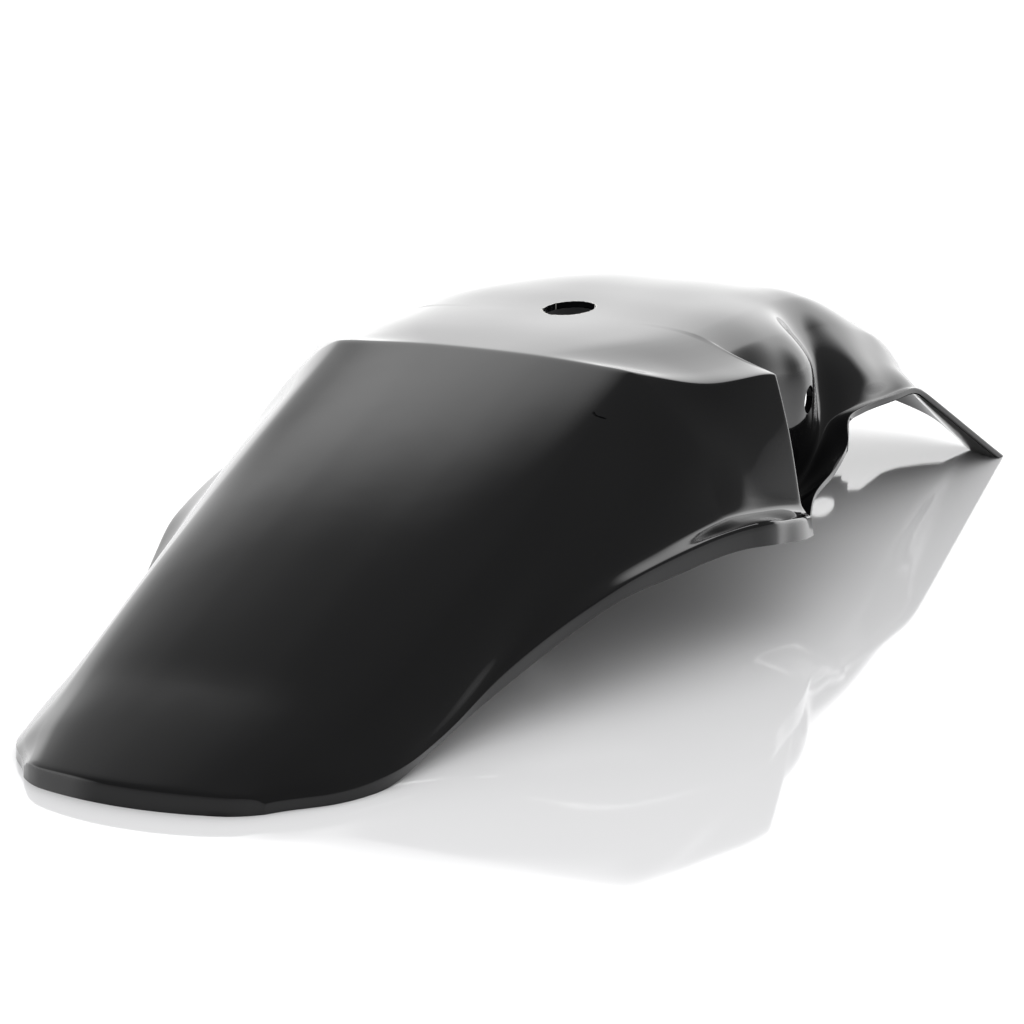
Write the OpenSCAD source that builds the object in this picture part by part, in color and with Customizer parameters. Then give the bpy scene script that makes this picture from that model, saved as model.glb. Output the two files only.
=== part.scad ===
// Motorcycle rear fender: one thin moulded shell, open underneath.
// Origin: floor level under the middle of the shell. +X front, +Y left side, +Z up.

/* [Overall size, mm] */
// Length from the tail tip to the front edge, in mm
overall_length = 710; // [600:10:800]
// Width over the two side ledges, in mm
overall_width = 268; // [230:2:300]
// Height of the dome above the floor, in mm
overall_height = 123; // [105:1:140]
// Wall thickness of the moulded shell, in mm
wall_t = 3; // [2.5:0.5:4]

/* [Edges, mm] */
// How far the tail tip bows out at its middle, in mm
tail_bow = 15; // [0:1:20]
// How far the tail panel bulges up at the middle of its length, in mm
tail_crown = 5; // [0:1:8]
// How far the foot of each wing's front end stands ahead of its top, in mm
wing_lean = 8; // [0:1:15]

/* [Holes, mm] */
// Diameter of the hole in the top of the dome, in mm
dome_hole_d = 22; // [10:1:26]
// Diameter of the mounting hole in each side recess, in mm
side_hole_d = 13; // [6:1:16]
// Diameter of the mounting hole in the front panel, in mm
front_hole_d = 14.5; // [6:0.5:15]

/* [Hidden] */

// The lines below are drawn for a shell of this length, width and height.
base_l = 710;
base_w = 268;
base_h = 123;
fit_x = overall_length / base_l;
fit_y = overall_width / base_w;
fit_z = overall_height / base_h;
// Drawn front edge, and the middle of the length from there to the tail tip.
front_x = 702.6;
mid_x = (front_x - tail_bow) / 2;
// Corner at each end of the tail tip: where it starts, where it ends and how far it is drawn back.
corner_from = 40;
corner_to = 55;
corner_back = 4.5;
// Turn of the side holes towards the front, and lean of the front hole, in degrees.
side_hole_turn = 7.5;
front_hole_lean = 41.5;

// Long lines of the left half, each a few points [x, half width, height],
// from the centre line out and down to the bottom of the lip.

// Tail panel, from the tip to the crease across the fender.
tail_lines = [
    // centre line
    [[0, 0, 9], [300, 0, 121]],
    // flat middle
    [[0, 13, 9], [22, 15, 17.2], [50, 15, 27.6], [300, 15, 120.9]],
    [[0, 25, 8.8], [22, 30, 17], [50, 30, 27.4], [300, 30, 120.6]],
    // outer part of the flat
    [[0, 42, 8.2], [22, 50, 15.6], [50, 54, 25.2], [140, 56, 59], [300, 55, 119.3]],
    // start of the shoulder
    [[0, 50, 7.5], [22, 60, 12.5], [50, 64.5, 21.5], [95, 69, 38], [140, 71, 55.5],
     [187, 72, 73.5], [241, 72, 95], [300, 72, 117.8]],
    // middle of the shoulder
    [[0, 52.5, 6.5], [22, 67, 9], [50, 73.5, 15], [95, 77.5, 28.5], [140, 80, 46.5],
     [187, 82, 66], [227, 85, 80], [270, 90, 92], [300, 95, 101]],
    // side wall
    [[0, 53.5, 5.5], [22, 70.3, 6], [50, 80, 8.5], [95, 83.5, 18], [140, 86, 34],
     [187, 90, 53], [241, 99, 68], [300, 108, 83]],
    // foot of the side wall
    [[0, 54.2, 5], [22, 71.4, 5], [50, 81.6, 6], [95, 85, 12], [140, 88.5, 26],
     [187, 97, 44.5], [241, 109, 56], [300, 118, 61]],
    // outer edge of the ledge
    [[0, 54.7, 4.5], [22, 72, 4.5], [50, 82.2, 5.5], [95, 85.5, 11], [140, 90, 25.5],
     [187, 102, 44], [214, 110, 51.5], [241, 116.5, 54], [300, 130, 56]],
    // bottom of the lip
    [[0, 55, 0], [22, 72, 0], [50, 82, 0], [60, 82.8, 1], [86, 84, 6], [124, 87, 15], [165, 94, 26],
     [187, 102, 35], [212, 110, 42], [241, 116.5, 44], [300, 130, 45.5]]];

// Side wings, from the crease to their square front ends.
wing_lines = [
    [[300, 0, 121], [340, 0, 122.3], [371, 0, 122.3]],
    [[300, 15, 120.9], [330, 32, 121.9], [371, 42, 122.1]],
    [[300, 30, 120.6], [330, 52, 121], [371, 66, 120]],
    [[300, 55, 119.3], [312, 74, 115.8], [328, 84, 112.8], [345, 89, 111.6], [371, 91, 111]],
    // sharp top edge of the wing
    [[300, 72, 117.8], [309, 84, 114], [318, 92, 110.8], [328, 98.5, 108.7],
     [341, 103, 108.5], [355, 107, 108.3], [366, 109, 107.6], [371, 110, 106]],
    [[300, 95, 101], [309, 97, 101.5], [328, 103.5, 99], [350, 109, 97], [371, 112.5, 96]],
    [[300, 108, 83], [340, 113, 78], [371, 116.5, 78]],
    [[300, 118, 61], [340, 121, 57], [371, 119.5, 52]],
    [[300, 130, 56], [314, 134, 55], [330, 133, 51], [350, 132, 47], [371, 125.5, 41]],
    [[300, 130, 45.5], [314, 134, 44], [330, 133, 41], [350, 132, 37], [371, 126.7, 32.8]]];

// Dome, side recess, front lobe and front panel.
front_lines = [
    [[375, 0, 122.3], [387, 0, 122.3], [425, 0, 122.9], [450, 0, 122.8], [475, 0, 121.3],
     [500, 0, 118], [531, 0, 111.5], [560, 0, 103.5], [590, 0, 93.5], [625, 0, 78],
     [660, 0, 60], [690, 0, 39], [706, 0, 23]],
    [[375, 42, 122.1], [420, 42, 122.5], [463, 40, 121], [500, 38, 116.5], [531, 38, 110],
     [560, 38, 102], [579, 36, 95], [625, 32, 74], [660, 32, 54], [690, 33, 31], [706, 33, 15]],
    [[375, 66, 120], [420, 67, 119.8], [463, 62, 116.5], [490, 60, 113.5], [514, 60, 110],
     [531, 60, 105], [551, 60, 97.5], [579, 60, 84.5], [600, 58, 76.5], [620, 57, 67.5], [640, 55, 56],
     [680, 54, 30], [706, 54, 8]],
    [[375, 75.5, 117], [420, 76.5, 116], [450, 73, 113], [475, 67.5, 108.5], [500, 66, 105.5],
     [514, 66.5, 103.8], [531, 67.5, 99.6], [560, 67.5, 89.4], [585, 67, 78.5], [600, 65.5, 72],
     [620, 63.5, 61.5], [640, 62.5, 49], [680, 62, 24], [706, 62, 2.5]],
    [[375, 84, 112], [420, 84.5, 110.5], [450, 82, 106.5], [470, 74, 101], [490, 71, 98],
     [510, 72, 97], [531, 74, 93], [560, 74, 84.5], [573, 74.5, 80], [585, 74, 74],
     [600, 72.5, 66.5], [615, 70, 58], [640, 69, 41], [680, 70, 17], [706, 70, -3]],
    [[375, 91.5, 99], [420, 92.5, 97], [450, 92.5, 94], [464, 87, 91], [480, 79, 88],
     [500, 80.5, 86.5], [522, 84.5, 82], [547, 84.5, 75], [573, 84, 67.5], [585, 83, 63],
     [600, 80.5, 55], [618, 80, 44], [640, 80, 30.5], [680, 81, 7], [706, 81, -9]],
    [[375, 93, 70], [420, 94, 72], [450, 94, 75], [463, 90, 75], [480, 82, 74],
     [500, 88, 73], [522, 91.5, 70], [547, 91, 66], [573, 91, 61], [600, 87.5, 47.5],
     [640, 88, 25], [680, 88, 3], [706, 88, -11]],
    // foot of the recess wall and root of its flange
    [[375, 93, 33], [420, 93, 35], [440, 92.5, 39], [450, 92.5, 44], [458, 92, 49],
     [466, 90, 53], [480, 88.5, 59], [492, 92, 61.5], [509, 93.5, 61.5], [535, 93.5, 59.5],
     [556, 93.5, 58.5], [573, 93.8, 57], [582, 93.8, 53.3], [600, 93.5, 44], [640, 94, 22.5], [680, 95, 1],
     [706, 95, -12.5]],
    // outer edge of the flange, which narrows beside the pillar
    [[375, 123.5, 41.5], [386, 120.5, 46.5], [405, 118, 49.5], [425, 115.3, 50.7],
     [440, 113.5, 54.5], [457, 109.5, 57], [470, 104, 59.5], [483, 98.8, 62.3],
     [498, 98, 62.3], [545, 98, 60], [573, 97.5, 56.8], [580, 97.6, 53.8], [590, 98, 48.5],
     [680, 101.5, 0.2], [706, 102.5, -13.5]],
    [[375, 124, 38.5], [386, 120.5, 43.5], [405, 118, 46.5], [425, 115.3, 47.7],
     [440, 113.5, 51.5], [457, 109.5, 54], [470, 104, 56.5], [483, 98.8, 59.5],
     [498, 98, 59.5], [545, 98, 57.2], [573, 97.5, 54], [580, 97.6, 50.8], [590, 98, 45.5],
     [680, 101.5, -2.8],
     [706, 102.5, -16.5]]];

// Places along the length where the shell has a cross-section.
tail_at = [0, 0.6, 6, 13, 22, 35, 50, 72, 95, 120, 145, 170, 195, 220, 245, 270, 288];
wing_at = [300, 309, 318, 328, 341, 355, 365, 371];
front_at = [375, 387, 402, 418, 434, 446, 454, 461, 468, 476, 484, 493, 504, 517, 530,
            545, 559, 573, 586, 600, 618, 638, 660, 680, 693, 706];

// Points between one long line and the next in a cross-section.
steps = [3, 2, 2, 2, 3, 3, 3, 2, 1];

// Edge left by the moulding's trimmed front end, seen from the front: [half width, height].
trim = [[104, 0], [82, 0], [62, 11], [35, 18], [28, 21], [18, 30], [10, 31.5], [9, 28.5],
        [5, 28], [4, 26], [0, 26.5]];

function steepness(k, i) = let (n = len(k) - 1)
    i == 0 ? (k[1] - k[0]) / (k[1][0] - k[0][0]) :
    i == n ? (k[n] - k[n - 1]) / (k[n][0] - k[n - 1][0]) :
    let (g = k[i][0] - k[i - 1][0], h = k[i + 1][0] - k[i][0])
    ((k[i] - k[i - 1]) / g * h + (k[i + 1] - k[i]) / h * g) / (g + h);

function curve(a, b, ta, tb, t) =
    (2 * t * t * t - 3 * t * t + 1) * a + (t * t * t - 2 * t * t + t) * ta
    + (3 * t * t - 2 * t * t * t) * b + (t * t * t - t * t) * tb;

function along(k, x, i = 0) =
    i < len(k) - 2 && x > k[i + 1][0] ? along(k, x, i + 1) :
    let (h = k[i + 1][0] - k[i][0])
    curve(k[i], k[i + 1], h * steepness(k, i), h * steepness(k, i + 1), (x - k[i][0]) / h);

function unit(v) = v / max(norm(v), 0.000001);

// Direction of a cross-section at one of its lines; edge 1 keeps a sharp corner there.
function heading(p, i, edge, side) = let (n = len(p) - 1)
    i == 0 ? [0, 1, 0] :
    i == n ? unit(p[n] - p[n - 1]) :
    let (g = norm(p[i] - p[i - 1]), h = norm(p[i + 1] - p[i]),
         a = (p[i] - p[i - 1]) / g, b = (p[i + 1] - p[i]) / h,
         m = unit(a * h + b * g))
    m * (1 - edge) + (side == 0 ? a : b) * edge;

function half_section(p, edges) = concat([p[0]], [
    for (i = [0 : len(p) - 2]) let (h = norm(p[i + 1] - p[i]))
    for (s = [1 : steps[i]])
    curve(p[i], p[i + 1], h * heading(p, i, edges[i], 1),
          h * heading(p, i + 1, edges[i + 1], 0), s / steps[i])]);

function lines_at(k, x) = [for (line = k) along(line, x)];
function above_floor(p) = [for (q = p) [q[0], q[1], max(0, q[2])]];
function on_floor(p) = [for (q = p) [q[0], q[1], 0]];

tail_edges = [0, 0, 0, 0, 0, 0, 0, 0, 1, 1];
wing_edges = [0, 0, 0, 0, 1, 0, 0, 0.3, 1, 1];
front_edges = [0, 0, 0, 0, 0, 0, 0, 0.6, 1, 1];

halves = concat(
    [half_section(on_floor(lines_at(tail_lines, 0)), tail_edges)],
    [for (i = [1 : len(tail_at) - 1]) half_section(above_floor(lines_at(tail_lines, tail_at[i])), tail_edges)],
    [for (x = wing_at) half_section(lines_at(wing_lines, x), wing_edges)],
    [for (x = front_at) half_section(lines_at(front_lines, x), front_edges)]);

// The tip is bowed: its middle stands out past its corners, and the corners are drawn back.
function bowed(p) = let (near = max(0, 1 - p[0] / 60), mid = max(0, 1 - pow(p[1] / 62, 2)),
                         out = min(1, max(0, abs(p[1]) - corner_from) / (corner_to - corner_from)))
    [p[0] - tail_bow * near * mid + corner_back * out * out * max(0, 1 - p[0] / 25), p[1], p[2]];
// The tail panel bulges up a little between the tip and the crease.
function crowned(p) = let (s = max(0, min(1, p[0] / 300)), flat = max(0, 1 - pow(p[1] / 80, 2)))
    [p[0], p[1], p[2] + tail_crown * 4 * s * (1 - s) * pow(flat, 1.5)];
// The square front ends of the wings lean: their foot stands ahead of their top.
function leaned(p) = let (near = max(0, 1 - abs(p[0] - 373) / 40), low = max(0, 1 - p[2] / 106))
    [p[0] + wing_lean * near * low, p[1], p[2]];
function placed(p) = let (q = leaned(bowed(crowned(p)))) [(q[0] - mid_x) * fit_x, q[1] * fit_y, q[2] * fit_z];

n_half = len(halves[0]) - 1;
n_across = 2 * n_half + 1;
n_along = len(halves);

outer = [for (h = halves) [for (j = [-n_half : n_half])
    let (q = h[abs(j)]) placed([q[0], (j < 0 ? -1 : 1) * q[1], q[2]])]];

function clampi(v, top) = min(max(v, 0), top);

// Normal of the outer face beside a point, towards the outside.
function face_normal(i, j) =
    let (a = outer[i][j], b = outer[i + 1][j], c = outer[i][j + 1], d = outer[i + 1][j + 1])
    unit(cross(d - a, c - b));
function point_normal(i, j) =
    let (i0 = clampi(i - 1, n_along - 2), i1 = clampi(i, n_along - 2),
         j0 = clampi(j - 1, n_across - 2), j1 = clampi(j, n_across - 2),
         m = unit(face_normal(i0, j0) + face_normal(i0, j1)
                  + face_normal(i1, j0) + face_normal(i1, j1)))
    m * min(1.35, 1 / max(0.3, m * face_normal(i1, j1), m * face_normal(i0, j0)));

function level(v) = [v[0], v[1], 0];

inner = [for (i = [0 : n_along - 1]) [for (j = [0 : n_across - 1])
    let (v = point_normal(i, j),
         rim = i == 0 || j == 0 || j == n_across - 1,
         w = rim ? unit(level(v)) : v)
    outer[i][j] - wall_t * w]];

// All points in one row of numbers: first the outer skin, then the inner skin.
skin = concat([for (r = outer) for (p = r) p], [for (r = inner) for (p = r) p]);
n_skin = n_along * n_across;
function at(i, j, s) = s * n_skin + i * n_across + j;

function turned(face) = [face[2], face[1], face[0]];
// The two triangles between two places and two lines; the left half mirrors the right half.
function patch(i, j, s) = j < n_half
    ? [[at(i, j, s), at(i + 1, j, s), at(i + 1, j + 1, s)], [at(i, j, s), at(i + 1, j + 1, s), at(i, j + 1, s)]]
    : [[at(i, j, s), at(i + 1, j, s), at(i, j + 1, s)], [at(i + 1, j, s), at(i + 1, j + 1, s), at(i, j + 1, s)]];

skin_faces = concat(
    [for (i = [0 : n_along - 2]) for (j = [0 : n_across - 2]) for (f = patch(i, j, 0)) f],
    [for (i = [0 : n_along - 2]) for (j = [0 : n_across - 2]) for (f = patch(i, j, 1)) turned(f)],
    [for (i = [0 : n_along - 2]) for (t = [0, 1])
        t == 0 ? [at(i, 0, 0), at(i, 0, 1), at(i + 1, 0, 1)]
               : [at(i, 0, 0), at(i + 1, 0, 1), at(i + 1, 0, 0)]],
    [for (i = [0 : n_along - 2]) for (t = [0, 1]) let (e = n_across - 1)
        t == 0 ? [at(i, e, 0), at(i + 1, e, 0), at(i + 1, e, 1)]
               : [at(i, e, 0), at(i + 1, e, 1), at(i, e, 1)]],
    [for (j = [0 : n_across - 2]) for (t = [0, 1])
        t == 0 ? [at(0, j, 0), at(0, j + 1, 0), at(0, j + 1, 1)]
               : [at(0, j, 0), at(0, j + 1, 1), at(0, j, 1)]],
    [for (j = [0 : n_across - 2]) for (t = [0, 1]) let (e = n_along - 1)
        t == 0 ? [at(e, j, 0), at(e, j, 1), at(e, j + 1, 1)]
               : [at(e, j, 0), at(e, j + 1, 1), at(e, j + 1, 0)]]);

module moulded_skin() {
    polyhedron(points = skin, faces = skin_faces, convexity = 8);
}

// Everything below the trimmed front edge, as a block along the length.
module front_trim() {
    right = [for (p = trim) [-p[0] * fit_y, p[1] * fit_z]];
    left = [for (i = [len(trim) - 2 : -1 : 0]) [trim[i][0] * fit_y, trim[i][1] * fit_z]];
    translate([(650 - mid_x) * fit_x, 0, 0])
        rotate([90, 0, 90])
            linear_extrude(height = 90 * fit_x)
                polygon(concat([[-130, -60], [-130, 0]], right, left, [[130, 0], [130, -60]]));
}

module dome_hole() {
    translate([(387 - mid_x) * fit_x, 0, 100 * fit_z])
        cylinder(h = 60, d = dome_hole_d, $fn = 64);
}

// Each side hole is square to its wall, which faces a little forward.
module side_holes() {
    for (s = [-1, 1])
        translate([(445 - mid_x) * fit_x, s * 92.8 * fit_y, 77.5 * fit_z])
            rotate([0, 0, -s * side_hole_turn])
                rotate([-90 * s, 0, 0])
                    cylinder(h = 30, d = side_hole_d, center = true, $fn = 48);
}

module front_hole() {
    translate([(688 - mid_x) * fit_x, 0, 41.5 * fit_z])
        rotate([0, front_hole_lean, 0])
            cylinder(h = 30, d = front_hole_d, center = true, $fn = 48);
}

module fender_shell() {
    color("#0c0d0e")
    difference() {
        moulded_skin();
        front_trim();
        dome_hole();
        side_holes();
        front_hole();
    }
}

fender_shell();
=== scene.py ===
"""Motorcycle rear fender: one glossy black moulded shell standing on a white studio floor.

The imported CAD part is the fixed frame. The shell is modelled here again from the same long lines,
with finer sections, softened creases and the rough cut of its top hole, and stands for the CAD node.
Shapes are drawn in millimetres and made in metres.
"""

from __future__ import annotations

import logging
import math
from dataclasses import dataclass, field
from enum import Enum

import bpy
import numpy as np
from mathutils import Matrix, Vector

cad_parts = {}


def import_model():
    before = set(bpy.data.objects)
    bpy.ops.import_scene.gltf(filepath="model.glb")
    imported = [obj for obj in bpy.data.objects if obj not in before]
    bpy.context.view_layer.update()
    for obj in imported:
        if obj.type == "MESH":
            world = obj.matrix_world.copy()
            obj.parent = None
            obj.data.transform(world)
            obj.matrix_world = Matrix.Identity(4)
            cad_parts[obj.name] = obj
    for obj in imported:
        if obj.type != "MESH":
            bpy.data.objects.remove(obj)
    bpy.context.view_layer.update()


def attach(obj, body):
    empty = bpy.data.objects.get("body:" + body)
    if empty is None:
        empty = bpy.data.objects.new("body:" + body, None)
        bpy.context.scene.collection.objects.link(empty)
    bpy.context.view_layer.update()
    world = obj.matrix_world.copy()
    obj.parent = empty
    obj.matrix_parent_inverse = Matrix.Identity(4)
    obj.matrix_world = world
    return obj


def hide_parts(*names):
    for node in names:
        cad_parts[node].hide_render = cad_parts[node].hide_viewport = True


LOG = logging.getLogger("fender")
MM = 0.001
CREASE_AT = 300.0  # place of the crease across the fender, in mm from the tail tip

Knot = tuple[float, float, float]
Line = tuple[Knot, ...]


class Side(Enum):
    """The two halves of the fender."""

    LEFT = 1
    RIGHT = -1


# Long lines of the left half: points of (place from the tail tip, half width, height) in mm.

TAIL_LINES: tuple[Line, ...] = (
    ((0, 0, 9), (300, 0, 121)),
    ((0, 13, 9), (22, 15, 17.2), (50, 15, 27.6), (300, 15, 120.9)),
    ((0, 25, 8.8), (22, 30, 17), (50, 30, 27.4), (300, 30, 120.6)),
    ((0, 42, 8.2), (22, 50, 15.6), (50, 54, 25.2), (140, 56, 59), (300, 55, 119.3)),
    ((0, 50, 7.5), (22, 60, 12.5), (50, 64.5, 21.5), (95, 69, 38), (140, 71, 55.5),
     (187, 72, 73.5), (241, 72, 95), (300, 72, 117.8)),
    ((0, 52.5, 6.5), (22, 67, 9), (50, 73.5, 15), (95, 77.5, 28.5), (140, 80, 46.5),
     (187, 82, 66), (227, 85, 80), (270, 90, 92), (300, 95, 101)),
    ((0, 53.5, 5.5), (22, 70.3, 6), (50, 80, 8.5), (95, 83.5, 18), (140, 86, 34),
     (187, 90, 53), (241, 99, 68), (300, 108, 83)),
    ((0, 54.2, 5), (22, 71.4, 5), (50, 81.6, 6), (95, 85, 12), (140, 88.5, 26),
     (187, 97, 44.5), (241, 109, 54.8), (300, 116.8, 57.5)),
    ((0, 54.7, 4.5), (22, 72, 4.5), (50, 82.2, 5.5), (95, 85.5, 11), (140, 90, 25.5),
     (187, 103, 41.5), (214, 111, 49), (241, 117, 52.5), (300, 130, 55.5)),
    ((0, 55, 0), (22, 72, 0), (50, 82, 0), (60, 82.8, 1), (86, 84, 6), (124, 87, 15), (165, 94, 26),
     (187, 102, 35), (212, 110, 42), (241, 116.5, 44), (300, 130, 45.5)),
)

WING_LINES: tuple[Line, ...] = (
    ((300, 0, 121), (340, 0, 122.3), (371, 0, 122.3)),
    ((300, 15, 120.9), (330, 32, 121.9), (371, 42, 122.1)),
    ((300, 30, 120.6), (330, 52, 121), (371, 66, 120)),
    ((300, 55, 119.3), (312, 74, 115.8), (328, 84, 112.8), (345, 89, 111.6), (371, 91, 111)),
    ((300, 72, 117.8), (309, 84, 114), (318, 92, 110.8), (328, 98.5, 108.7),
     (341, 103, 108.5), (355, 107, 108.3), (366, 109, 107.6), (371, 110, 106)),
    ((300, 95, 101), (309, 97, 101.5), (328, 103.5, 99), (350, 109, 97), (371, 112.5, 96)),
    ((300, 108, 83), (340, 113, 78), (371, 116.5, 78)),
    ((300, 116.8, 57.5), (340, 118.2, 53.5), (371, 121, 47.5)),
    ((300, 130, 56), (314, 134, 55), (330, 133, 51), (350, 132, 47), (371, 125.5, 41)),
    ((300, 130, 45.5), (314, 134, 44), (330, 133, 41), (350, 132, 37), (371, 126.7, 32.8)),
)

FRONT_LINES: tuple[Line, ...] = (
    ((375, 0, 122.3), (387, 0, 122.3), (425, 0, 122.9), (450, 0, 122.8), (475, 0, 121.3),
     (500, 0, 118), (531, 0, 111.5), (560, 0, 103.5), (590, 0, 93.5), (625, 0, 78),
     (660, 0, 60), (690, 0, 39), (706, 0, 23)),
    ((375, 42, 122.1), (420, 42, 122.5), (463, 40, 121), (500, 38, 116.5), (531, 38, 110),
     (560, 38, 102), (579, 36, 95), (625, 32, 74), (660, 32, 54), (690, 33, 31), (706, 33, 15)),
    ((375, 66, 120), (420, 67, 119.8), (463, 62, 116.5), (490, 60, 113.5), (514, 60, 110),
     (531, 60, 105), (551, 60, 97.5), (579, 60, 84.5), (600, 58, 76.5), (620, 57, 67.5),
     (640, 55, 56), (680, 54, 30), (706, 54, 8)),
    ((375, 75.5, 117), (420, 76.5, 116), (450, 73, 113), (475, 67.5, 108.5), (500, 66, 105.5),
     (514, 66.5, 103.8), (531, 67.5, 99.6), (560, 67.5, 89.4), (585, 67, 78.5), (600, 65.5, 72),
     (620, 63.5, 61.5), (640, 62.5, 49), (680, 62, 24), (706, 62, 2.5)),
    ((375, 84, 112), (420, 84.5, 110.5), (450, 82, 106.5), (470, 74, 101), (490, 71, 98),
     (510, 72, 97), (531, 74, 93), (560, 74, 84.5), (573, 74.5, 80), (585, 74, 74),
     (600, 72.5, 66.5), (615, 70, 58), (640, 69, 41), (680, 70, 17), (706, 70, -3)),
    ((375, 91.5, 99), (420, 92.5, 97), (450, 92.5, 94), (464, 87, 91), (480, 79, 88),
     (500, 80.5, 86.5), (522, 84.5, 82), (547, 84.5, 75), (573, 84, 67.5), (585, 83, 63),
     (600, 80.5, 55), (618, 80, 44), (640, 80, 30.5), (680, 81, 7), (706, 81, -9)),
    ((375, 93, 70), (420, 94, 72), (450, 94, 75), (463, 90, 75), (480, 82, 74),
     (500, 88, 73), (522, 91.5, 70), (547, 91, 66), (573, 91, 61), (600, 87.5, 47.5),
     (640, 88, 25), (680, 88, 3), (706, 88, -11)),
    ((375, 93, 33), (420, 93, 35), (440, 92.5, 39), (450, 92.5, 44), (458, 92, 49),
     (466, 90, 53), (480, 88.5, 59), (492, 92, 61.5), (509, 93.5, 61.5), (535, 93.5, 59.5),
     (556, 93.5, 58.5), (573, 93.8, 57), (582, 93.8, 53.3), (600, 93.5, 44), (640, 94, 22.5),
     (680, 95, 1), (706, 95, -12.5)),
    ((375, 123.5, 41.5), (386, 120.5, 46.5), (405, 118, 49.5), (425, 115.3, 50.7),
     (440, 113.5, 54.5), (457, 109.5, 57), (470, 104, 59.5), (483, 98.8, 62.3),
     (498, 98, 62.3), (545, 98, 60), (573, 97.5, 56.8), (580, 97.6, 53.8), (590, 98, 48.5),
     (680, 101.5, 0.2), (706, 102.5, -13.5)),
    ((375, 124, 38.5), (386, 120.5, 43.5), (405, 118, 46.5), (425, 115.3, 47.7),
     (440, 113.5, 51.5), (457, 109.5, 54), (470, 104, 56.5), (483, 98.8, 59.5),
     (498, 98, 59.5), (545, 98, 57.2), (573, 97.5, 54), (580, 97.6, 50.8), (590, 98, 45.5),
     (680, 101.5, -2.8), (706, 102.5, -16.5)),
)

# Edge left where the moulding's front end is trimmed, seen from the front: (half width, height) in mm.
TRIM_EDGE: tuple[tuple[float, float], ...] = (
    (104, 0), (82, 0), (62, 11), (35, 18), (28, 21), (18, 30), (10, 31.5), (9, 28.5), (5, 28), (4, 26),
    (0, 26.5))


def linear(hex_colour: str) -> tuple[float, float, float, float]:
    """Turn an sRGB hex colour into the linear colour that shaders take.

    Args:
        hex_colour: six hex digits after a hash sign.

    Returns:
        Red, green, blue and an alpha of 1.
    """
    parts = [int(hex_colour[i:i + 2], 16) / 255 for i in (1, 3, 5)]
    shades = [c / 12.92 if c <= 0.04045 else ((c + 0.055) / 1.055) ** 2.4 for c in parts]
    return shades[0], shades[1], shades[2], 1.0


def add_node(tree: bpy.types.NodeTree, kind: str, settings: dict | None = None,
             links: dict | None = None) -> bpy.types.Node:
    """Add a shader node with its settings and its input links.

    Args:
        tree: the node tree that gets the node.
        kind: the node's type name.
        settings: attributes of the node, or values of its inputs by name or number.
        links: for an input's name or number, the output socket that feeds it.

    Returns:
        The new node.
    """
    node = tree.nodes.new(kind)
    for key, value in (settings or {}).items():
        if isinstance(key, str) and hasattr(node, key):
            setattr(node, key, value)
        else:
            node.inputs[key].default_value = value
    for key, socket in (links or {}).items():
        tree.links.new(socket, node.inputs[key])
    return node


def new_material(name: str) -> tuple[bpy.types.Material, bpy.types.NodeTree]:
    """Make an empty node material and return it with its tree."""
    material = bpy.data.materials.new(name)
    material.use_nodes = True
    material.node_tree.nodes.clear()
    return material, material.node_tree


def unit(vectors: np.ndarray) -> np.ndarray:
    """Scale vectors to a length of one."""
    return vectors / np.maximum(np.linalg.norm(vectors, axis=-1, keepdims=True), 1e-9)


def curve(a: np.ndarray, b: np.ndarray, ta: np.ndarray, tb: np.ndarray, t: np.ndarray) -> np.ndarray:
    """Cubic between two points with given directions at both ends.

    Args:
        a: start point.
        b: end point.
        ta: direction at the start, as long as the span.
        tb: direction at the end, as long as the span.
        t: places along the span, from 0 to 1.

    Returns:
        One point for each place.
    """
    t = t[:, None]
    return ((2 * t**3 - 3 * t**2 + 1) * a + (t**3 - 2 * t**2 + t) * ta
            + (3 * t**2 - 2 * t**3) * b + (t**3 - t**2) * tb)


class LongLine:
    """A smooth line along the fender through a few points."""

    def __init__(self, knots: Line) -> None:
        """Work out the line's direction at each of its points."""
        k = np.array(knots, float)
        steps = np.diff(k, axis=0) / np.diff(k[:, 0])[:, None]
        slopes = np.empty_like(k)
        slopes[0], slopes[-1] = steps[0], steps[-1]
        for i in range(1, len(k) - 1):
            back, ahead = k[i, 0] - k[i - 1, 0], k[i + 1, 0] - k[i, 0]
            slopes[i] = (steps[i - 1] * ahead + steps[i] * back) / (back + ahead)
        self.knots, self.slopes = k, slopes

    def at(self, x: float) -> np.ndarray:
        """Give the line's point at a place along the fender."""
        k = self.knots
        i = int(np.clip(np.searchsorted(k[:, 0], x) - 1, 0, len(k) - 2))
        span = k[i + 1, 0] - k[i, 0]
        return curve(k[i], k[i + 1], span * self.slopes[i], span * self.slopes[i + 1],
                     np.array([(x - k[i, 0]) / span]))[0]


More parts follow.
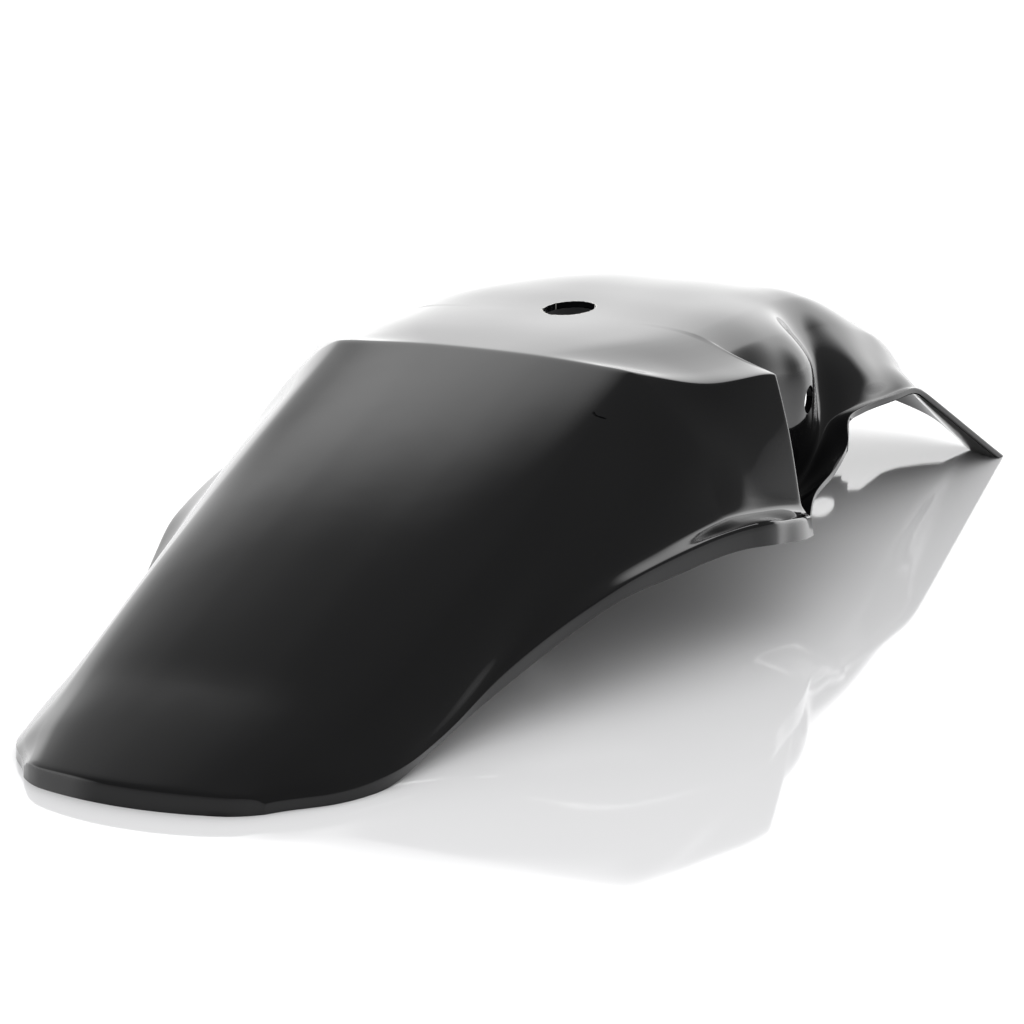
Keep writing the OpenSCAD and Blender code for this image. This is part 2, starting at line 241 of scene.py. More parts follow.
class Stretch:
    """A stretch of the fender's length with its ten long lines."""

    FILLET_LEAD = 2.5

    def __init__(self, lines: list[Line], edges: tuple[float, ...],
                 first_edges: tuple[float, ...] | None = None, grow: float = 1.0,
                 fillet_below: int | None = None) -> None:
        """Keep the lines and their corners.

        Args:
            lines: the ten long lines from the centre line to the bottom of the lip.
            edges: how sharp a corner the section has at each line (1 is a sharp corner).
            first_edges: the same at the stretch's start, where it differs.
            grow: length in mm over which the corners change from the first to the later ones.
            fillet_below: a line up to which the face above stays flat, with a tight fillet below it.
        """
        self.lines = [LongLine(line) for line in lines]
        self.edges = edges
        self.first_edges = first_edges or edges
        self.grow = grow
        self.fillet_below = fillet_below
        self.start = lines[0][0][0]

    def grown(self, x: float) -> tuple[float, float]:
        """Shares of the change at a place: that of the corners, and that of the fillet, which comes first."""
        run = max(0.0, (x - self.start) / self.grow)
        return min(1.0, run * run), min(1.0, run * self.FILLET_LEAD)

    def section(self, x: float, columns: tuple[tuple[float, ...], ...], on_floor: bool = False) -> np.ndarray:
        """Draw the left half of the cross-section at a place.

        Args:
            x: place from the tail tip in mm.
            columns: for each span between two lines, the places of its points.
            on_floor: whether the section is pressed flat on the floor.

        Returns:
            Points from the centre line to the bottom of the lip.
        """
        p = np.array([line.at(x) for line in self.lines])
        if on_floor:
            p[:, 2] = 0
        elif x < CREASE_AT:
            p[:, 2] = np.maximum(p[:, 2], 0)
        span = np.linalg.norm(np.diff(p, axis=0), axis=1)
        ahead = np.diff(p, axis=0) / span[:, None]
        mean = p.copy()
        mean[0], mean[-1] = (0, 1, 0), ahead[-1]
        mean[1:-1] = unit(ahead[:-1] * span[1:, None] + ahead[1:] * span[:-1, None])
        share, flat = self.grown(x)
        edges = [a * (1 - share) + b * share for a, b in zip(self.first_edges, self.edges)]
        if self.fillet_below is not None:
            k = self.fillet_below
            mean[k] = unit(mean[k] * (1 - flat) + ahead[k - 1] * flat)
        parts = [p[:1]]
        for k, places in enumerate(columns):
            start = mean[k] * (1 - edges[k]) + ahead[k] * edges[k] if k else mean[0]
            last = k + 1 == len(columns)
            end = mean[k + 1] if last else mean[k + 1] * (1 - edges[k + 1]) + ahead[k] * edges[k + 1]
            parts.append(curve(p[k], p[k + 1], span[k] * start, span[k] * end, np.array(places)))
        return np.vstack(parts)


@dataclass
class ShellSheet:
    """The fender's outer face as rows across and columns along, from its long lines."""

    crease_at: float = CREASE_AT
    wing_end: float = 371.0
    waist_start: float = 375.0
    front_end: float = 706.0
    tail_bow: float = 15.0
    bow_half_width: float = 62.0
    bow_length: float = 60.0
    tail_crown: float = 5.0
    crown_half_width: float = 80.0
    corner_from: float = 40.0
    corner_to: float = 55.0
    corner_back: float = 4.5
    corner_length: float = 25.0
    wing_lean: float = 8.0
    lean_at: float = 373.0
    lean_reach: float = 40.0
    lean_height: float = 106.0
    middle: float = 343.8
    crease_grow: float = 50.0
    soften_rounds: int = 4
    columns: tuple[tuple[float, ...], ...] = (
        (0.12, 0.25, 0.38, 0.5, 0.62, 0.75, 0.88, 1.0),
        (0.2, 0.4, 0.6, 0.8, 1.0),
        (0.2, 0.4, 0.6, 0.8, 1.0),
        (0.2, 0.4, 0.6, 0.78, 0.9, 0.96, 1.0),
        (0.04, 0.1, 0.2, 0.35, 0.5, 0.67, 0.84, 1.0),
        (0.14, 0.28, 0.43, 0.57, 0.71, 0.86, 1.0),
        (0.2, 0.4, 0.6, 0.76, 0.9, 1.0),
        (0.1, 0.25, 0.45, 0.65, 0.8, 0.9, 0.96, 1.0),
        (0.15, 0.35, 0.65, 1.0),
    )
    tip_rows: tuple[float, ...] = (0.0, 0.15, 0.3, 0.45, 0.6, 0.74, 0.86, 0.95)
    near_tip: tuple[float, ...] = (0.6, 1.2, 2.0, 3.2, 5.0, 7.5, 10.5, 14.0)
    near_crease: tuple[float, ...] = (290.0, 293.0, 295.5, 297.3, 298.6, 299.4)
    past_crease: tuple[float, ...] = (300.7, 301.6, 303.0, 305.0)
    near_wing_end: tuple[float, ...] = (365.5, 367.8, 369.4, 370.4)
    wing_face: tuple[float, ...] = (0.03, 0.07, 0.14, 0.25, 0.38, 0.52, 0.66, 0.79, 0.88, 0.95)
    past_waist: tuple[float, ...] = (375.6, 376.6, 378.2, 380.5)
    row_step: float = 3.6
    tail_rows_from: float = 17.5
    wing_rows_from: float = 308.0
    front_rows_from: float = 384.0

    def __post_init__(self) -> None:
        """Join lines that run on smoothly from one stretch into the next."""
        tail, wing, front = list(TAIL_LINES), list(WING_LINES), list(FRONT_LINES)
        outside_crease, on_dome = 5, 3
        for k in range(outside_crease, len(tail)):
            tail[k] = wing[k] = TAIL_LINES[k] + WING_LINES[k][1:]
        for k in range(on_dome):
            wing[k] = front[k] = WING_LINES[k] + FRONT_LINES[k]
        smooth_tail = (0, 0, 0, 0, 0, 0, 0, 0, 1, 1)
        self.tail = Stretch(tail, smooth_tail)
        self.wing = Stretch(wing, (0, 0, 0, 0, 1, 0, 0, 0, 1, 1), smooth_tail, self.crease_grow,
                            fillet_below=7)
        self.front = Stretch(front, (0, 0, 0, 0, 0, 0, 0, 0.6, 1, 1))

    def evenly(self, start: float, end: float) -> list[float]:
        """Places from start up to but without end, about one row step apart."""
        count = max(1, round((end - start) / self.row_step))
        return [start + (end - start) * i / count for i in range(count)]

    def halves(self) -> np.ndarray:
        """Draw the left halves of all rows, from the tail tip to the front end."""
        foot = self.tail.section(0.0, self.columns, on_floor=True)
        lip = self.tail.section(self.near_tip[0], self.columns)
        rows = [foot * (1 - f) + lip * f for f in self.tip_rows]
        tail_rows = [*self.near_tip, *self.evenly(self.tail_rows_from, self.near_crease[0]),
                     *self.near_crease]
        rows += [self.tail.section(x, self.columns) for x in tail_rows]
        wing_rows = [self.crease_at, *self.past_crease,
                     *self.evenly(self.wing_rows_from, self.near_wing_end[0]),
                     *self.near_wing_end, self.wing_end]
        rows += [self.wing.section(x, self.columns) for x in wing_rows]
        back, ahead = rows[-1], self.front.section(self.waist_start, self.columns)
        rows += [back * (1 - f) + ahead * f for f in self.wing_face]
        front_rows = [self.waist_start, *self.past_waist, *self.evenly(self.front_rows_from, self.front_end),
                      self.front_end]
        rows += [self.front.section(x, self.columns) for x in front_rows]
        return np.array(rows)

    def soften(self, grid: np.ndarray, rounds: int) -> np.ndarray:
        """Round the creases a little by moving points towards the chord of their neighbours.

        Args:
            grid: points by row and column.
            rounds: how many times every point is moved.

        Returns:
            The softened points. The grid's rim only moves along itself.
        """
        grid = grid.copy()
        half = 0.5
        for _ in range(rounds):
            for axis in (0, 1):
                g = grid if axis == 0 else grid.swapaxes(0, 1)
                back = np.linalg.norm(g[1:-1] - g[:-2], axis=-1, keepdims=True)
                ahead = np.linalg.norm(g[2:] - g[1:-1], axis=-1, keepdims=True)
                chord = (g[2:] * back + g[:-2] * ahead) / np.maximum(back + ahead, 1e-9)
                moved = (chord - g[1:-1]) * half
                moved[:, [0, -1]] *= 0 if axis else half
                g[1:-1] += moved
        return grid

    def outer(self) -> np.ndarray:
        """Give the outer face's points in mm in the part's own frame, both halves."""
        half = self.halves()
        whole = np.concatenate([half[:, :0:-1] * (1, Side.RIGHT.value, 1), half], axis=1)
        x, y, z = whole[..., 0], whole[..., 1], whole[..., 2]
        run = np.clip(x / self.crease_at, 0, 1)
        arch = np.maximum(0, 1 - (y / self.crown_half_width) ** 2) ** 1.5
        crown = self.tail_crown * 4 * run * (1 - run) * arch
        bow = (self.tail_bow * np.maximum(0, 1 - x / self.bow_length)
               * np.maximum(0, 1 - (y / self.bow_half_width) ** 2))
        corner = np.clip((np.abs(y) - self.corner_from) / (self.corner_to - self.corner_from), 0, 1)
        back = self.corner_back * corner ** 2 * np.maximum(0, 1 - x / self.corner_length)
        lean = (self.wing_lean * np.maximum(0, 1 - np.abs(x - self.lean_at) / self.lean_reach)
                * np.maximum(0, 1 - (z + crown) / self.lean_height))
        placed = np.stack([x - bow + back + lean - self.middle, y, z + crown], axis=-1)
        return self.soften(placed, self.soften_rounds)


def select_only(obj: bpy.types.Object) -> None:
    """Make one object the active one and the only one selected."""
    bpy.ops.object.select_all(action="DESELECT")
    obj.select_set(True)
    bpy.context.view_layer.objects.active = obj


def coordinates(obj: bpy.types.Object) -> np.ndarray:
    """Read an object's vertex places as rows of three numbers."""
    flat = np.zeros(len(obj.data.vertices) * 3)
    obj.data.vertices.foreach_get("co", flat)
    return flat.reshape(-1, 3)


def place_vertices(obj: bpy.types.Object, points: np.ndarray) -> None:
    """Move an object's vertices to new places."""
    obj.data.vertices.foreach_set("co", points.astype(np.float32).ravel())
    obj.data.update()


@dataclass
class HoleCutter:
    """A round cutter for one hole of the shell."""

    name: str
    centre: tuple[float, float, float]
    axis: tuple[float, float, float]
    diameter: float
    depth: float
    points: int = 96
    roughness: float = 0.0
    stretch: float = 1.0
    teeth: tuple[tuple[float, float, float], ...] = ((29, 1.1, 0.35), (17, 0.4, 0.35), (7, 0, 0.3))
    chips_and_painted_glints: tuple[tuple[float, float, float], ...] = ((2.05, 0.07, 1.7), (2.95, 0.16, 1.2))

    def outline(self, angle: np.ndarray) -> np.ndarray:
        """Share of the radius by which a hand-cut rim wanders round the hole."""
        teeth = sum(np.sin(angle * count + start) * size for count, start, size in self.teeth)
        chips_and_painted_glints = sum(size * np.exp(-((angle - at) / width) ** 2) for at, width, size in self.chips_and_painted_glints)
        return self.roughness * (teeth + chips_and_painted_glints)

    def build(self) -> bpy.types.Object:
        """Add the cutter as a cylinder and roughen its side where the hole was cut by hand."""
        bpy.ops.object.select_all(action="DESELECT")
        bpy.ops.mesh.primitive_cylinder_add(vertices=self.points, radius=self.diameter / 2 * MM,
                                            depth=self.depth * MM)
        cutter = bpy.context.object
        cutter.name = self.name
        if self.roughness:
            points = coordinates(cutter)
            angle = np.mod(np.arctan2(points[:, 1], points[:, 0]), 2 * math.pi)
            points[:, :2] *= (1 + self.outline(angle))[:, None]
            points[:, 0] *= self.stretch
            place_vertices(cutter, points)
        turn = Vector((0, 0, 1)).rotation_difference(Vector(self.axis)).to_matrix().to_4x4()
        cutter.data.transform(Matrix.Translation(Vector(self.centre) * MM) @ turn)
        return cutter


@dataclass
class Nick:
    """The small hooked nick in the gloss of the tail panel, as grooves between its points."""

    points: tuple[tuple[float, float], ...] = ((-75.9, -75.2), (-77.6, -71.8), (-77.3, -70.3), (-75.9, -69.1))
    half_width: float = 0.6
    depth: float = 0.8
    overlap: float = 0.35
    above: float = 0.5

    def build(self, shell: bpy.types.Object) -> list[bpy.types.Object]:
        """Lay one long rounded cutter in the surface along each stretch of the nick.

        Args:
            shell: the moulding, whose surface tells how high the points are.

        Returns:
            The cutters.
        """
        seats = []
        for x, y in self.points:
            _, place, normal, _ = shell.ray_cast(Vector((x * MM, y * MM, self.above)), Vector((0, 0, -1)))
            seats.append((place, normal))
        cutters = []
        for (start, up), (end, _) in zip(seats[:-1], seats[1:]):
            bpy.ops.object.select_all(action="DESELECT")
            bpy.ops.mesh.primitive_uv_sphere_add(segments=24, ring_count=12, radius=1)
            groove = bpy.context.object
            groove.name = "nick_groove"
            along = (end - start).normalized()
            aside = up.cross(along).normalized()
            reach = (end - start).length / 2 + self.overlap * MM
            size = Matrix.Diagonal((reach, self.half_width * MM, self.depth * MM, 1))
            turn = Matrix((along, aside, along.cross(aside))).transposed().to_4x4()
            groove.data.transform(Matrix.Translation((start + end) / 2) @ turn @ size)
            cutters.append(groove)
        return cutters


@dataclass
class FenderShell:
    """The one-piece moulded shell: outer face, wall, trimmed front edge and holes."""

    wall: float = 3.0
    most_offset: float = 1.4
    least_overlap: float = 0.3
    trim_name: str = "front_trim"
    trim_start: float = 306.2
    trim_length: float = 90.0
    trim_half_width: float = 130.0
    trim_bottom: float = -60.0
    smooth_below: float = 34.0
    rough_cut: float = 0.03
    rough_stretch: float = 1.4
    side_hole_turn: float = 7.5
    front_hole_lean: float = 41.5
    sheet: ShellSheet = field(default_factory=ShellSheet)

    def kept_columns(self) -> list[int]:
        """Columns whose wall thickness is worked out; those close to a sharp corner follow them."""
        kept, place = [0], 0
        close_to_corner = {3: (0.9, 0.96), 4: (0.04, 0.1), 7: (0.9, 0.96), 8: (0.15, 0.35, 0.65)}
        for k, span in enumerate(self.sheet.columns):
            for t in span:
                place += 1
                if t not in close_to_corner.get(k, ()):
                    kept.append(place)
        half = place
        return sorted({half - c for c in kept} | {half + c for c in kept})

    def kept_rows(self, count: int) -> list[int]:
        """Rows whose wall thickness is worked out; those close to the tip and the wing's end follow them."""
        sheet = self.sheet
        tip = len(sheet.tip_rows)
        after_end = len(sheet.evenly(sheet.front_rows_from, sheet.front_end)) + 1 + len(sheet.past_waist) + 1
        end = count - after_end - len(sheet.wing_face) - 1
        close = set(range(1, tip)) | {tip + 1, tip + 2} | {end - 2, end - 1, end + 1, end + 2}
        return [i for i in range(count) if i not in close]

    def inner(self, outer: np.ndarray) -> np.ndarray:
        """Give the inner face's points, one wall thickness inside the outer face."""
        rows, columns = self.kept_rows(len(outer)), self.kept_columns()
        coarse = outer[np.ix_(rows, columns)]
        faces = unit(np.cross(coarse[1:, 1:] - coarse[:-1, :-1], coarse[:-1, 1:] - coarse[1:, :-1]))
        padded = np.pad(faces, ((1, 1), (1, 1), (0, 0)), mode="edge")
        around = [padded[:-1, :-1], padded[:-1, 1:], padded[1:, :-1], padded[1:, 1:]]
        normal = unit(sum(around))
        least = np.minimum.reduce([np.sum(normal * f, axis=-1) for f in around])
        offset = normal * np.minimum(self.most_offset, 1 / np.maximum(self.least_overlap, least))[..., None]
        level = unit(normal * (1, 1, 0))
        offset[0], offset[:, 0], offset[:, -1] = level[0], level[:, 0], level[:, -1]
        thin = coarse - self.wall * offset
        thin = self.spread(thin, outer[:, columns], rows)
        return self.spread(thin.swapaxes(0, 1), outer.swapaxes(0, 1), columns).swapaxes(0, 1)

    @staticmethod
    def spread(thin: np.ndarray, guide: np.ndarray, kept: list[int]) -> np.ndarray:
        """Fill in the rows between kept ones in step with the outer face's spacing.

        Args:
            thin: inner points of the kept rows.
            guide: outer points of all rows.
            kept: the kept rows' numbers.

        Returns:
            Inner points of all rows.
        """
        full = np.empty(guide.shape)
        full[kept] = thin
        for before, after in zip(kept[:-1], kept[1:]):
            if after - before < 2:
                continue
            steps = np.linalg.norm(np.diff(guide[before:after + 1], axis=0), axis=-1)
            run = np.cumsum(steps, axis=0) / np.maximum(steps.sum(axis=0), 1e-9)
            for n in range(before + 1, after):
                share = run[n - before - 1][:, None]
                full[n] = full[before] * (1 - share) + full[after] * share
        return full

    def moulding(self) -> bpy.types.Object:
        """Model the uncut shell: a flat slab is extruded from a grid, then both its faces are shaped."""
        outer = self.sheet.outer()
        inner = self.inner(outer)
        rows, columns = outer.shape[:2]
        bpy.ops.object.select_all(action="DESELECT")
        bpy.ops.mesh.primitive_grid_add(x_subdivisions=rows - 1, y_subdivisions=columns - 1, size=2)
        shell = bpy.context.object
        shell.name = "moulded_shell"
        bpy.ops.object.mode_set(mode="EDIT")
        bpy.ops.mesh.select_all(action="SELECT")
        bpy.ops.mesh.extrude_region_move(TRANSFORM_OT_translate={"value": (0, 0, -1)})
        bpy.ops.mesh.select_all(action="SELECT")
        bpy.ops.mesh.normals_make_consistent(inside=False)
        bpy.ops.object.mode_set(mode="OBJECT")
        flat = coordinates(shell)
        row = np.rint((flat[:, 0] + 1) / 2 * (rows - 1)).astype(int)
        column = np.rint((flat[:, 1] + 1) / 2 * (columns - 1)).astype(int)
        is_outer = flat[:, 2] > -0.5
        points = np.where(is_outer[:, None], outer[row, column], inner[row, column])
        place_vertices(shell, points * MM)
        return shell

    def trim_block(self) -> bpy.types.Object:
        """Model the block that takes away all below the trimmed front edge."""
        right = [(-w, h) for w, h in TRIM_EDGE]
        left = [(w, h) for w, h in reversed(TRIM_EDGE[:-1])]
        side, bottom = self.trim_half_width, self.trim_bottom
        outline = [(-side, bottom), (-side, 0), *right, *left, (side, 0), (side, bottom)]
        bpy.ops.object.select_all(action="DESELECT")
        bpy.ops.mesh.primitive_circle_add(vertices=len(outline), radius=1, fill_type="NGON")
        block = bpy.context.object
        block.name = self.trim_name
        place_vertices(block, np.array([(self.trim_start, y, z) for y, z in outline]) * MM)
        bpy.ops.object.mode_set(mode="EDIT")
        bpy.ops.mesh.select_all(action="SELECT")
        bpy.ops.mesh.extrude_region_move(TRANSFORM_OT_translate={"value": (self.trim_length * MM, 0, 0)})
        bpy.ops.mesh.select_all(action="SELECT")
        bpy.ops.mesh.normals_make_consistent(inside=False)
        bpy.ops.object.mode_set(mode="OBJECT")
        return block

    def cutters(self) -> list[bpy.types.Object]:
        """Build everything that is cut out of the moulding."""
        lean, turn = math.radians(self.front_hole_lean), math.radians(self.side_hole_turn)
        holes = [
            HoleCutter("dome_hole", (43.2, 0, 120), (0, 0, 1), 22.0, 40, 288, self.rough_cut,
                       self.rough_stretch),
            HoleCutter("front_hole", (344.2, 0, 41.5), (math.sin(lean), 0, math.cos(lean)), 14.5, 30),
        ]
        holes += [HoleCutter(f"side_hole_{side.name.lower()}", (101.2, side.value * 92.8, 77.5),
                             (math.sin(turn), side.value * math.cos(turn), 0), 13.0, 30) for side in Side]
        return [hole.build() for hole in holes] + [self.trim_block()]

    def build(self) -> bpy.types.Object:
        """Model the shell, cut its edge and holes, and smooth its shading."""
        shell = self.moulding()
        tools = Nick().build(shell) + self.cutters()
        for tool in tools:
            select_only(shell)
            cut = shell.modifiers.new("Cut", "BOOLEAN")
            cut.operation, cut.solver, cut.object = "DIFFERENCE", "EXACT", tool
            cut.use_self = tool.name == self.trim_name
            bpy.ops.object.modifier_apply(modifier=cut.name)
            bpy.data.objects.remove(tool)
        select_only(shell)
        bpy.ops.object.shade_smooth_by_angle(angle=math.radians(self.smooth_below))
        LOG.info("moulded shell: %d faces", len(shell.data.polygons))
        return shell


@dataclass(frozen=True)
class BlackGelCoat:
    """Black gel coat on a moulded shell: a smooth, hard, glossy skin with a faint ripple from the mould.

    Round the hand-cut hole, pale spots are painted here and there as the highlights that its rough-cut rim
    catches.
    """

    colour: str = "#0b0b0c"
    ior: float = 1.5
    gloss_roughness: float = 0.07
    ripple_mm: float = 28.0
    ripple_height: float = 0.04
    peel_mm: float = 1.6
    peel_height: float = 0.0025
    # Pale, rougher spots painted round the hole's rim stand in for the highlights its rough-cut edge catches.
    painted_glint_colour: str = "#c9c8c2"
    painted_glint_roughness: float = 0.45
    hole_centre: tuple[float, float] = (43.2, 0.0)
    hole_stretch: float = 1.4
    painted_glint_from: float = 11.25
    painted_glint_to: float = 13.0
    painted_glint_spot_mm: float = 2.6

    def chips_and_painted_glints(self, tree: bpy.types.NodeTree, place: bpy.types.NodeSocket) -> bpy.types.NodeSocket:
        """Tell where pale highlight spots are painted round the hole's rim (1 is a painted highlight).

        Args:
            tree: the material's node tree.
            place: the object coordinates.

        Returns:
            The mask's socket.
        """
        centre = (self.hole_centre[0] * MM, self.hole_centre[1] * MM, 0)
        from_hole = add_node(tree, "ShaderNodeVectorMath", {"operation": "SUBTRACT", 1: centre}, {0: place})
        in_plan = add_node(tree, "ShaderNodeVectorMath",
                           {"operation": "MULTIPLY", 1: (1 / self.hole_stretch, 1, 0)},
                           {0: from_hole.outputs["Vector"]})
        distance = add_node(tree, "ShaderNodeVectorMath", {"operation": "LENGTH"},
                            {0: in_plan.outputs["Vector"]}).outputs["Value"]
        fading = add_node(tree, "ShaderNodeMapRange",
                          {"From Min": self.painted_glint_from * MM, "From Max": self.painted_glint_to * MM, "To Min": 1.0,
                           "To Max": 0.0}, {"Value": distance}).outputs["Result"]
        outside = add_node(tree, "ShaderNodeMath", {"operation": "GREATER_THAN", 1: self.painted_glint_from * MM},
                           {0: distance}).outputs[0]
        near = add_node(tree, "ShaderNodeMath", {"operation": "MULTIPLY"}, {0: fading, 1: outside}).outputs[0]
        spots = add_node(tree, "ShaderNodeTexNoise", {"Scale": 1 / (self.painted_glint_spot_mm * MM), "Detail": 3.0},
                         {"Vector": place}).outputs["Fac"]
        both = add_node(tree, "ShaderNodeMath", {"operation": "MULTIPLY"}, {0: near, 1: spots})
        return add_node(tree, "ShaderNodeMapRange", {"From Min": 0.37, "From Max": 0.41},
                        {"Value": both.outputs[0]}).outputs["Result"]

    def material(self) -> bpy.types.Material:
        """Build the material on object coordinates."""
        material, tree = new_material("Black gel coat")
        place = add_node(tree, "ShaderNodeTexCoord").outputs["Object"]
        ripple = add_node(tree, "ShaderNodeTexNoise", {"Scale": 1 / (self.ripple_mm * MM), "Detail": 1.0},
                          {"Vector": place})
        peel = add_node(tree, "ShaderNodeTexNoise", {"Scale": 1 / (self.peel_mm * MM), "Detail": 2.0},
                        {"Vector": place})
        waves = add_node(tree, "ShaderNodeBump", {"Strength": 1.0, "Distance": self.ripple_height * MM},
                         {"Height": ripple.outputs["Fac"]})
        skin = add_node(tree, "ShaderNodeBump", {"Strength": 1.0, "Distance": self.peel_height * MM},
                        {"Height": peel.outputs["Fac"], "Normal": waves.outputs["Normal"]})
        coat = add_node(tree, "ShaderNodeBsdfPrincipled",
                        {"Base Color": linear(self.colour), "Roughness": self.gloss_roughness,
                         "IOR": self.ior}, {"Normal": skin.outputs["Normal"]})
        # The painted rim highlights: a pale, rougher shader that the mask mixes in round the hole.
        painted_glint = add_node(tree, "ShaderNodeBsdfPrincipled",
                        {"Base Color": linear(self.painted_glint_colour), "Roughness": self.painted_glint_roughness})
        surface = add_node(tree, "ShaderNodeMixShader", None,
                           {0: self.chips_and_painted_glints(tree, place), 1: coat.outputs["BSDF"], 2: painted_glint.outputs["BSDF"]})
        add_node(tree, "ShaderNodeOutputMaterial", None, {"Surface": surface.outputs["Shader"]})
        return material


@dataclass(frozen=True)
class WhiteAcrylic:
    """White acrylic sheet under the fender: a bright flat body colour under a clear, still surface."""

    colour: str = "#f2f2f3"
    roughness: float = 0.05
    ior: float = 1.49

    def material(self) -> bpy.types.Material:
        """Build the floor's material."""
        material, tree = new_material("White acrylic sheet")
        body = add_node(tree, "ShaderNodeBsdfPrincipled",
                        {"Base Color": linear(self.colour), "Roughness": self.roughness, "IOR": self.ior})
        add_node(tree, "ShaderNodeOutputMaterial", None, {"Surface": body.outputs["BSDF"]})
        return material


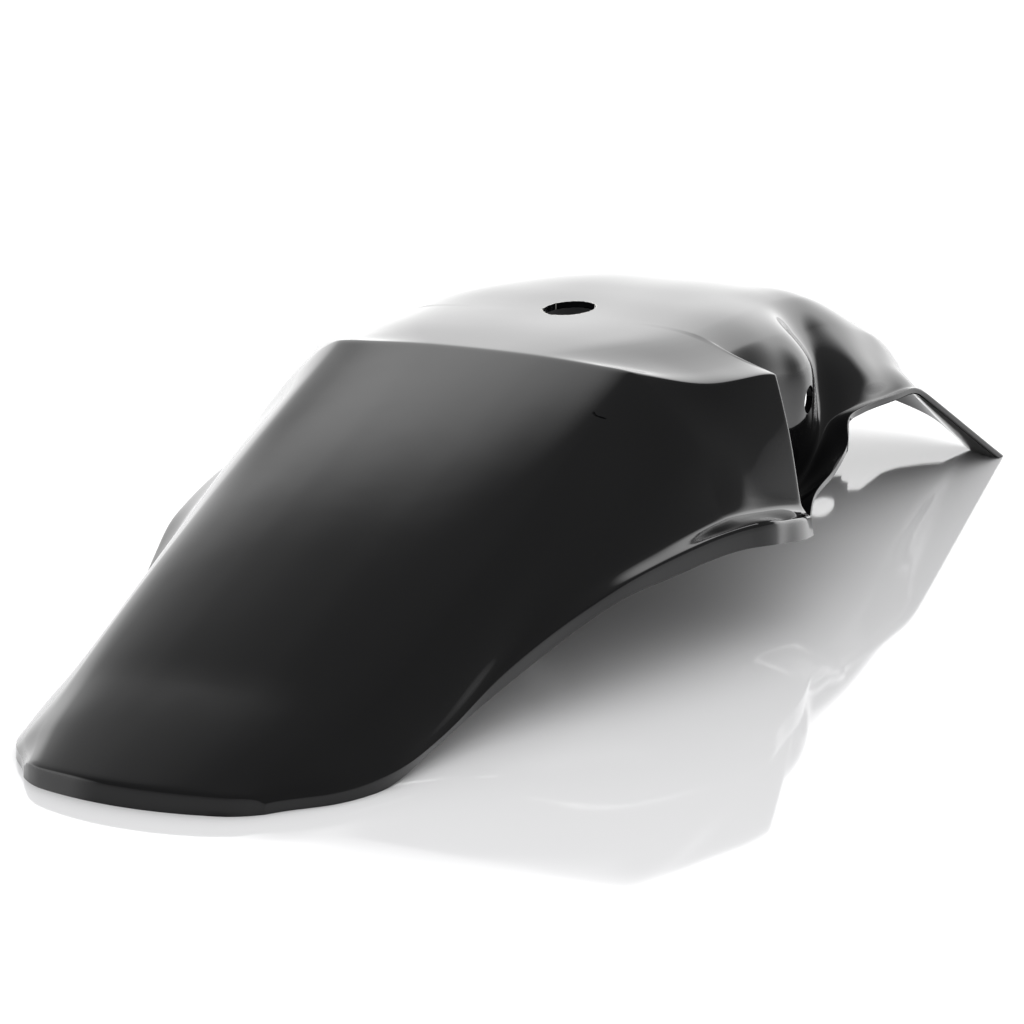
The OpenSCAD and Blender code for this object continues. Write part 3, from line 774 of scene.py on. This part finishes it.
@dataclass
class Studio:
    """Pale floor, soft light and the camera at the photograph's viewing angle."""

    floor_size: float = 12.0
    camera_place: tuple[float, float, float] = (-1.9665, -0.9694, 0.600)
    heading: float = 26.42
    pitch: float = -14.41
    lens: float = 176.26
    sensor_width: float = 36.0
    clip: tuple[float, float] = (0.05, 60.0)
    soft_light: float = 1.1
    dark_light: float = 0.2
    window_heading: float = -12.2
    window_tilt: float = 0.0
    window_edge: tuple[float, float] = (0.36, 0.46)
    window_light: tuple[tuple[float, float], ...] = ((0.45, 2.1), (0.62, 1.95), (0.73, 1.45), (0.83, 1.0))
    wall_light: tuple[tuple[float, float], ...] = (
        (0.3, 1.9), (0.42, 1.05), (0.55, 0.7), (0.75, 0.32), (0.9, 0.15))
    lit_heading: float = 55.0
    lit_tilt: float = -0.45
    lit_edge: tuple[float, float] = (0.02, 0.26)

    def floor(self) -> bpy.types.Object:
        """Lay the floor under the shell."""
        bpy.ops.object.select_all(action="DESELECT")
        bpy.ops.mesh.primitive_plane_add(size=self.floor_size)
        floor = bpy.context.object
        floor.name = "studio_floor"
        floor.data.materials.append(WhiteAcrylic().material())
        return floor

    def world(self) -> None:
        """Surround the part with soft light, and give its gloss a bright window, a wall and a dark side."""
        world = bpy.data.worlds.new("Studio surroundings")
        bpy.context.scene.world = world
        world.use_nodes = True
        tree = world.node_tree
        tree.nodes.clear()
        direction = add_node(tree, "ShaderNodeTexCoord").outputs["Generated"]
        height = add_node(tree, "ShaderNodeSeparateXYZ", None, {0: direction}).outputs["Z"]
        window = add_node(tree, "ShaderNodeValToRGB", None, {0: height})
        self.fill_ramp(window.color_ramp, self.window_light)
        wall = add_node(tree, "ShaderNodeValToRGB", None, {0: height})
        self.fill_ramp(wall.color_ramp, self.wall_light)
        in_window = self.towards(tree, direction, self.window_heading, self.window_tilt, self.window_edge)
        ahead = self.blend(tree, in_window, wall.outputs["Color"], window.outputs["Color"])
        lit_side = self.towards(tree, direction, self.lit_heading, self.lit_tilt, self.lit_edge)
        dark = add_node(tree, "ShaderNodeRGB")
        dark.outputs[0].default_value = (self.dark_light,) * 3 + (1,)
        mirrored = self.blend(tree, lit_side, dark.outputs[0], ahead)
        rays = add_node(tree, "ShaderNodeLightPath")
        seen = add_node(tree, "ShaderNodeBackground", {"Strength": 1.0}, {"Color": mirrored})
        lit = add_node(tree, "ShaderNodeBackground", {"Color": (1, 1, 1, 1), "Strength": self.soft_light})
        white = add_node(tree, "ShaderNodeBackground", {"Color": (1, 1, 1, 1), "Strength": 1.0})
        glossy = add_node(tree, "ShaderNodeMixShader", None,
                          {0: rays.outputs["Is Glossy Ray"], 1: lit.outputs[0], 2: seen.outputs[0]})
        final = add_node(tree, "ShaderNodeMixShader", None,
                         {0: rays.outputs["Is Camera Ray"], 1: glossy.outputs[0], 2: white.outputs[0]})
        add_node(tree, "ShaderNodeOutputWorld", None, {"Surface": final.outputs[0]})

    @staticmethod
    def towards(tree: bpy.types.NodeTree, direction: bpy.types.NodeSocket, heading: float, tilt: float,
                edge: tuple[float, float]) -> bpy.types.NodeSocket:
        """Tell which directions point a given way, with a soft edge.

        Args:
            tree: the world's node tree.
            direction: the direction looked in.
            heading: the way's heading in degrees.
            tilt: the way's height against a level length of one.
            edge: how far along the way a direction counts as 0 and as 1.

        Returns:
            A socket that is 1 for directions that point the given way.
        """
        turn = math.radians(heading)
        reach = add_node(tree, "ShaderNodeVectorMath",
                         {"operation": "DOT_PRODUCT", 1: (math.cos(turn), math.sin(turn), tilt)},
                         {0: direction})
        soft = add_node(tree, "ShaderNodeMapRange",
                        {"interpolation_type": "SMOOTHSTEP", "From Min": edge[0], "From Max": edge[1]},
                        {"Value": reach.outputs["Value"]})
        return soft.outputs["Result"]

    @staticmethod
    def blend(tree: bpy.types.NodeTree, share: bpy.types.NodeSocket, first: bpy.types.NodeSocket,
              second: bpy.types.NodeSocket) -> bpy.types.NodeSocket:
        """Mix two colours by a share and return the mixed colour's socket."""
        mixed = add_node(tree, "ShaderNodeMix", {"data_type": "RGBA"}, {0: share, 6: first, 7: second})
        return mixed.outputs[2]

    @staticmethod
    def fill_ramp(ramp: bpy.types.ColorRamp, stops: tuple[tuple[float, float], ...]) -> None:
        """Set a ramp's stops from pairs of place and brightness."""
        while len(ramp.elements) < len(stops):
            ramp.elements.new(1.0)
        for element, (place, light) in zip(ramp.elements, stops):
            element.position, element.color = place, (light, light, light, 1)

    def camera(self) -> None:
        """Stand the camera where the photograph was taken from."""
        data = bpy.data.cameras.new("Camera")
        camera = bpy.data.objects.new("Camera", data)
        bpy.context.scene.collection.objects.link(camera)
        data.sensor_width, data.lens = self.sensor_width, self.lens
        data.clip_start, data.clip_end = self.clip
        turn, tip = math.radians(self.heading), math.radians(self.pitch)
        ahead = Vector((math.cos(turn) * math.cos(tip), math.sin(turn) * math.cos(tip), math.sin(tip)))
        camera.rotation_mode = "QUATERNION"
        camera.rotation_quaternion = ahead.to_track_quat("-Z", "Y")
        camera.location = self.camera_place
        bpy.context.scene.camera = camera

    def build(self) -> bpy.types.Object:
        """Set up the whole studio and return its floor."""
        floor = self.floor()
        self.world()
        self.camera()
        return floor


def main() -> None:
    """Load the CAD frame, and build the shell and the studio."""
    logging.basicConfig(level=logging.INFO)
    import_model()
    bpy.context.scene.view_settings.view_transform = "Standard"
    shell = FenderShell().build()
    shell.data.materials.clear()
    shell.data.materials.append(BlackGelCoat().material())
    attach(shell, "root")
    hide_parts("fender_shell")
    LOG.info("made %s", shell.name)
    floor = Studio().build()


if __name__ == "__main__":
    main()
